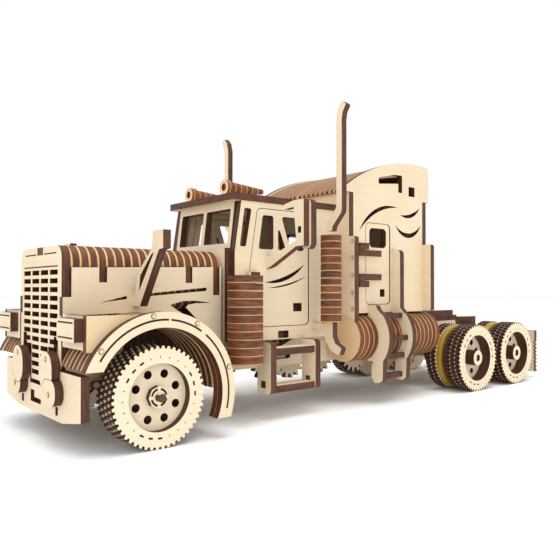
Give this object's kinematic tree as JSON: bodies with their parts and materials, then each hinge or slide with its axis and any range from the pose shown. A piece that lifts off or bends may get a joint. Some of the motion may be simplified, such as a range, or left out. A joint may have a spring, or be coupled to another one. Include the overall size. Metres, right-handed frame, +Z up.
{
  "type": "wooden 3d jigsaw model",
  "caption": "Slot-together plywood model of a long-nose sleeper tractor truck with a tilting nose, opening doors and hatches, steering and turning wheels.",
  "frame": {"origin": "on the ground under the middle of the overall box", "axes": "+Z up; -Y forwards, towards the grille; +X to the truck's left"},
  "size_m": [0.135, 0.3856, 0.1818],
  "materials": {
    "ply": "matt",
    "stack": "matt",
    "shaft": "matt",
    "band": "matt"
  },
  "bodies": {
    "chassis": {"air_cleaners": "stack", "air_horns": "stack", "axle_hangers": "ply", "bumper": "ply", "cab_roof": "ply", "cab_sides": "ply", "cab_walls": "ply", "chassis_rails": "ply", "cross_members": "ply", "engine": "ply", "exhaust_stacks": "ply", "fairing_ribs": "ply", "fairing_sides": "ply", "fifth_wheel": "ply", "floor_boards": "ply", "front_axle_beam": "ply", "fuel_tanks": "stack", "gearbox_plates": "ply", "hinge_blocks": "ply", "mudflaps": "ply", "mufflers": "stack", "rear_deck": "ply", "seats": "ply", "sleeper_sides": "ply", "sleeper_walls": "ply", "step_hangers": "ply", "step_treads": "ply", "tank_ladders": "ply", "winding_block": "stack", "windscreen_frame": "ply"},
    "nose": {"grille_plate": "ply", "hood_ribs": "ply", "hood_panels": "ply", "hood_spine": "ply", "fender_rings": "ply", "fender_layers": "ply", "signal_lamps": "ply", "nose_mirrors": "ply"},
    "left_door_body": {"left_door": "ply", "left_door_fittings": "ply"},
    "left_hatch_body": {"left_hatch": "ply", "left_hatch_straps": "ply"},
    "left_knuckle_body": {"left_knuckle": "ply"},
    "left_wheel_body": {"left_front_wheel": "ply"},
    "right_door_body": {"right_door": "ply", "right_door_fittings": "ply"},
    "right_hatch_body": {"right_hatch": "ply", "right_hatch_straps": "ply"},
    "right_knuckle_body": {"right_knuckle": "ply"},
    "right_wheel_body": {"right_front_wheel": "ply"},
    "tie_rod_body": {"tie_rod": "ply"},
    "steering_wheel_body": {"steering_wheel": "ply"},
    "rear_axle_1": {"rear_shaft_1": "shaft", "rear_wheels_1": "ply", "rear_bands_1": "band"},
    "rear_axle_2": {"rear_shaft_2": "shaft", "rear_wheels_2": "ply", "rear_bands_2": "band"},
    "idler_body": {"idler_gear": "shaft"}
  },
  "joints": [
    {"name": "nose_tilt", "type": "hinge", "parent": "chassis", "child": "nose", "pos_m": [0, -0.18145, 0.047], "axis": [1, 0, 0], "range_deg": [0, 34]},
    {"name": "left_door_swing", "type": "hinge", "parent": "chassis", "child": "left_door_body", "pos_m": [0.0362, -0.08505, 0.08], "axis": [0, 0, -1], "range_deg": [0, 60]},
    {"name": "right_door_swing", "type": "hinge", "parent": "chassis", "child": "right_door_body", "pos_m": [-0.0362, -0.08505, 0.08], "axis": [0, 0, 1], "range_deg": [0, 60]},
    {"name": "left_hatch_swing", "type": "hinge", "parent": "chassis", "child": "left_hatch_body", "pos_m": [0.0468, -0.00765, 0.088], "axis": [0, 0, -1], "range_deg": [0, 90]},
    {"name": "right_hatch_swing", "type": "hinge", "parent": "chassis", "child": "right_hatch_body", "pos_m": [-0.0468, -0.00765, 0.088], "axis": [0, 0, 1], "range_deg": [0, 90]},
    {"name": "left_steer", "type": "hinge", "parent": "chassis", "child": "left_knuckle_body", "pos_m": [0.032, -0.15405, 0.0235], "axis": [0, 0, 1], "range_deg": [-12, 12]},
    {"name": "right_steer", "type": "hinge", "parent": "chassis", "child": "right_knuckle_body", "pos_m": [-0.032, -0.15405, 0.0235], "axis": [0, 0, 1], "range_deg": [-12, 12]},
    {"name": "tie_rod_slide", "type": "slide", "parent": "chassis", "child": "tie_rod_body", "axis": [-1, 0, 0], "range_m": [-0.00252, 0.00252]},
    {"name": "left_front_spin", "type": "hinge", "parent": "left_knuckle_body", "child": "left_wheel_body", "pos_m": [0.05, -0.15405, 0.0235], "axis": [1, 0, 0], "continuous": true},
    {"name": "right_front_spin", "type": "hinge", "parent": "right_knuckle_body", "child": "right_wheel_body", "pos_m": [-0.05, -0.15405, 0.0235], "axis": [1, 0, 0], "continuous": true},
    {"name": "rear_axle_1_spin", "type": "hinge", "parent": "chassis", "child": "rear_axle_1", "pos_m": [0, 0.09675, 0.0235], "axis": [1, 0, 0], "continuous": true},
    {"name": "rear_axle_2_spin", "type": "hinge", "parent": "chassis", "child": "rear_axle_2", "pos_m": [0, 0.15045, 0.0235], "axis": [1, 0, 0], "continuous": true},
    {"name": "idler_spin", "type": "hinge", "parent": "chassis", "child": "idler_body", "pos_m": [0, 0.0728, 0.0235], "axis": [1, 0, 0], "continuous": true},
    {"name": "steering_wheel_turn", "type": "hinge", "parent": "chassis", "child": "steering_wheel_body", "pos_m": [0.0155, -0.07355, 0.084], "axis": [0, 0.8192, 0.5736], "range_deg": [-180, 180]}
  ],
  "couplings": [
    {"joint": "right_steer", "follows": "left_steer", "ratio": 1},
    {"joint": "tie_rod_slide", "follows": "left_steer", "m_per_rad": 0.012}
  ]
}
